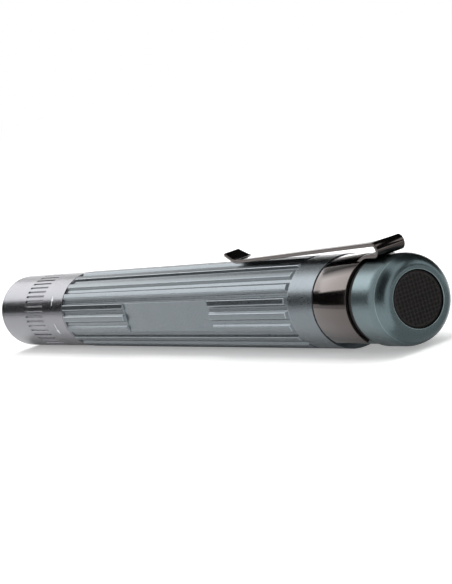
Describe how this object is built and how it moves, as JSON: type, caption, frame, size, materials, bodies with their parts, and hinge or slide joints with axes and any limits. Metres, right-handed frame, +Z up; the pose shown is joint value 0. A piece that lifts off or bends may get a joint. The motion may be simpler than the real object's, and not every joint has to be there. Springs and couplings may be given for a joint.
{
  "type": "flashlight",
  "caption": "Slim penlight with a fluted aluminium barrel, twist-focus head, screwed tail cap with a push button, and a sprung pocket clip.",
  "frame": {"origin": "centre of the bounding box's bottom face, on the surface that the light lies on", "axes": "+X along the beam from tail to head, +Z up through the pocket clip, +Y towards the milled side flat"},
  "size_m": [0.142, 0.014, 0.0159],
  "materials": {
    "barrel_anodised": "satin anodised blue-grey",
    "head_anodised": "satin anodised grey",
    "tail_anodised": "satin anodised teal-grey",
    "clip_gunmetal": "polished gunmetal plating",
    "seal_rubber": "moulded black",
    "button_rubber": "moulded black with a fine weave",
    "turned_brass": "turned",
    "spring_steel": "bright",
    "circuit_board": "green solder mask",
    "led_board_white": "white solder mask",
    "led_phosphor": "yellow phosphor under a clear dome",
    "black_nylon": "moulded",
    "clear_acrylic": "polished clear acrylic",
    "clear_glass": "clear, coated",
    "cell_jacket": "plain wrapped jacket"
  },
  "bodies": {
    "barrel": {"body_tube": "barrel_anodised", "battery_cell_rear": "cell_jacket", "battery_cell_front": "cell_jacket", "focus_seal_ring": "seal_rubber", "led_pill": "turned_brass", "driver_board": "circuit_board", "driver_contact": "turned_brass", "led_board": "led_board_white", "led_emitter": "led_phosphor", "guide_pin_left": "spring_steel", "guide_pin_right": "spring_steel"},
    "lens_carriage": {"lens_carrier": "black_nylon", "focus_lens": "clear_acrylic", "lens_retainer": "black_nylon"},
    "head": {"head_sleeve": "head_anodised", "carrier_retaining_ring": "spring_steel", "window_gasket": "seal_rubber", "front_window": "clear_glass", "bezel_ring": "head_anodised"},
    "clip": {"clip_band": "clip_gunmetal"},
    "clip_spring_arm": {"clip_arm": "clip_gunmetal"},
    "tail": {"tail_cap": "tail_anodised", "tail_seal_ring": "seal_rubber", "switch_housing": "black_nylon", "switch_board": "circuit_board", "switch_retainer": "turned_brass", "battery_spring": "spring_steel", "switch_spring": "spring_steel"},
    "button": {"tail_button": "button_rubber", "button_seal": "seal_rubber", "switch_plunger": "black_nylon"}
  },
  "joints": [
    {"name": "focus_travel", "type": "slide", "parent": "barrel", "child": "lens_carriage", "axis": [1, 0, 0], "range_m": [0, 0.004]},
    {"name": "focus_turn", "type": "hinge", "parent": "lens_carriage", "child": "head", "pos_m": [0, 0, 0.00699], "axis": [1, 0, 0], "range_deg": [0, 180]},
    {"name": "cap_travel", "type": "slide", "parent": "barrel", "child": "clip", "axis": [-1, 0, 0], "range_m": [0, 0.003]},
    {"name": "cap_turn", "type": "hinge", "parent": "clip", "child": "tail", "pos_m": [0, 0, 0.00699], "axis": [-1, 0, 0], "range_deg": [0, 1080]},
    {"name": "button_press", "type": "slide", "parent": "tail", "child": "button", "axis": [1, 0, 0], "range_m": [0, 0.0018], "stiffness_N_per_m": 1500, "springref_m": -0.001, "deforming": ["switch_spring"]},
    {"name": "clip_flex", "type": "hinge", "parent": "clip", "child": "clip_spring_arm", "pos_m": [-0.06591, 0, 0.01566], "axis": [0, -1, 0], "range_deg": [0, 8], "stiffness_Nm_per_rad": 2.2, "springref_deg": -1.72}
  ],
  "couplings": [
    {"joint": "focus_turn", "follows": "focus_travel", "rad_per_m": 785.4},
    {"joint": "cap_turn", "follows": "cap_travel", "rad_per_m": 6283.2}
  ]
}
